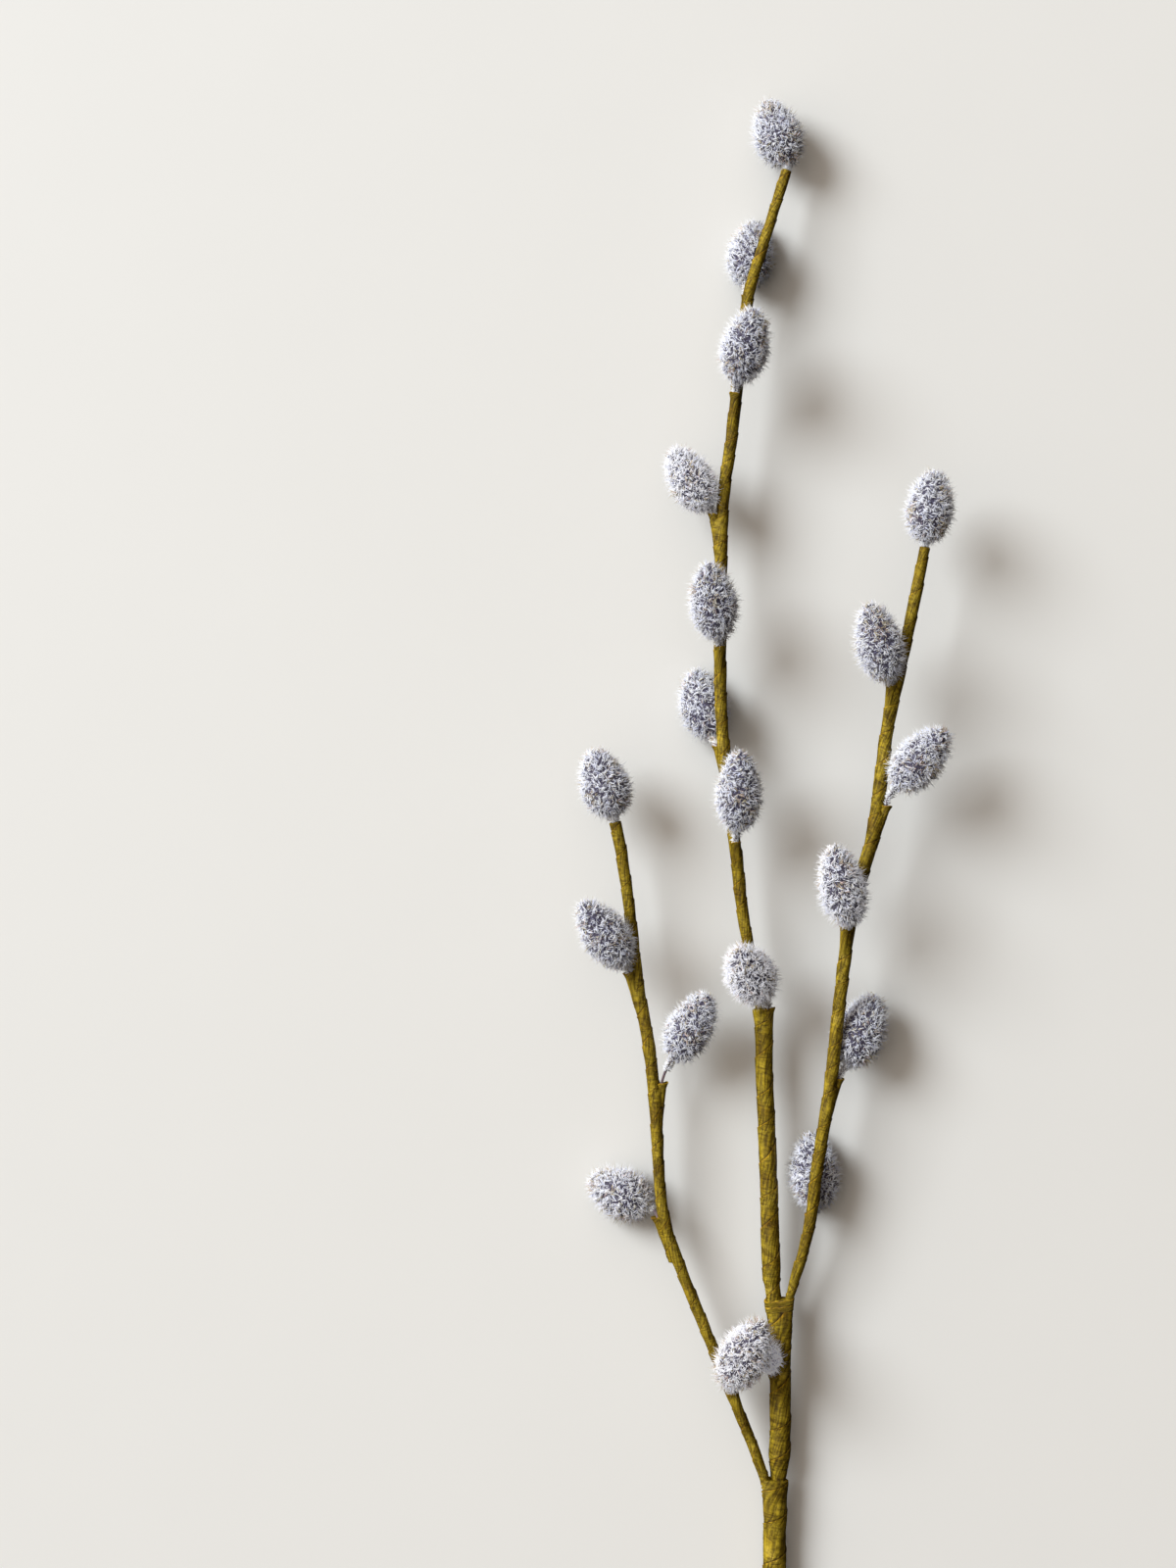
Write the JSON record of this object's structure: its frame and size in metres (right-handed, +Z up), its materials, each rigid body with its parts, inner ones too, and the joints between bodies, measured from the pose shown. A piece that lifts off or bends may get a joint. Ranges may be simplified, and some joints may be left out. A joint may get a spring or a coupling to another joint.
{
  "type": "willow twig",
  "caption": "Cut spray of artificial pussy willow, lying flat: forked twigs of olive paper-wrapped wire with furry blue-grey catkins.",
  "frame": {"origin": "on the surface that the twig lies on, under the middle of its length and width", "axes": "+Y along the twig from its cut end to its tips, +X to the right as seen from above, +Z up from the surface"},
  "size_m": [0.115, 0.5543, 0.0398],
  "materials": {
    "olive_paper": "matt crepe paper tape",
    "steel_wire": "dull drawn wire",
    "grey_fur": "flocked fur"
  },
  "bodies": {
    "root": {"lower_stem": "olive_paper", "middle_stem": "olive_paper", "upper_stem": "olive_paper", "leader": "olive_paper", "left_branch": "olive_paper", "right_branch": "olive_paper", "main_wire": "steel_wire", "left_wire": "steel_wire", "right_wire": "steel_wire", "leader_catkin_1": "grey_fur", "leader_catkin_2": "grey_fur", "leader_catkin_3": "grey_fur", "leader_catkin_4": "grey_fur", "leader_catkin_5": "grey_fur", "leader_catkin_6": "grey_fur", "leader_catkin_7": "grey_fur", "upper_stem_catkin": "grey_fur", "right_catkin_1": "grey_fur", "right_catkin_2": "grey_fur", "right_catkin_3": "grey_fur", "right_catkin_4": "grey_fur", "right_catkin_5": "grey_fur", "right_catkin_6": "grey_fur", "left_catkin_1": "grey_fur", "left_catkin_2": "grey_fur", "left_catkin_3": "grey_fur", "left_catkin_4": "grey_fur", "left_catkin_5": "grey_fur", "middle_stem_catkin": "grey_fur"}
  },
  "joints": []
}
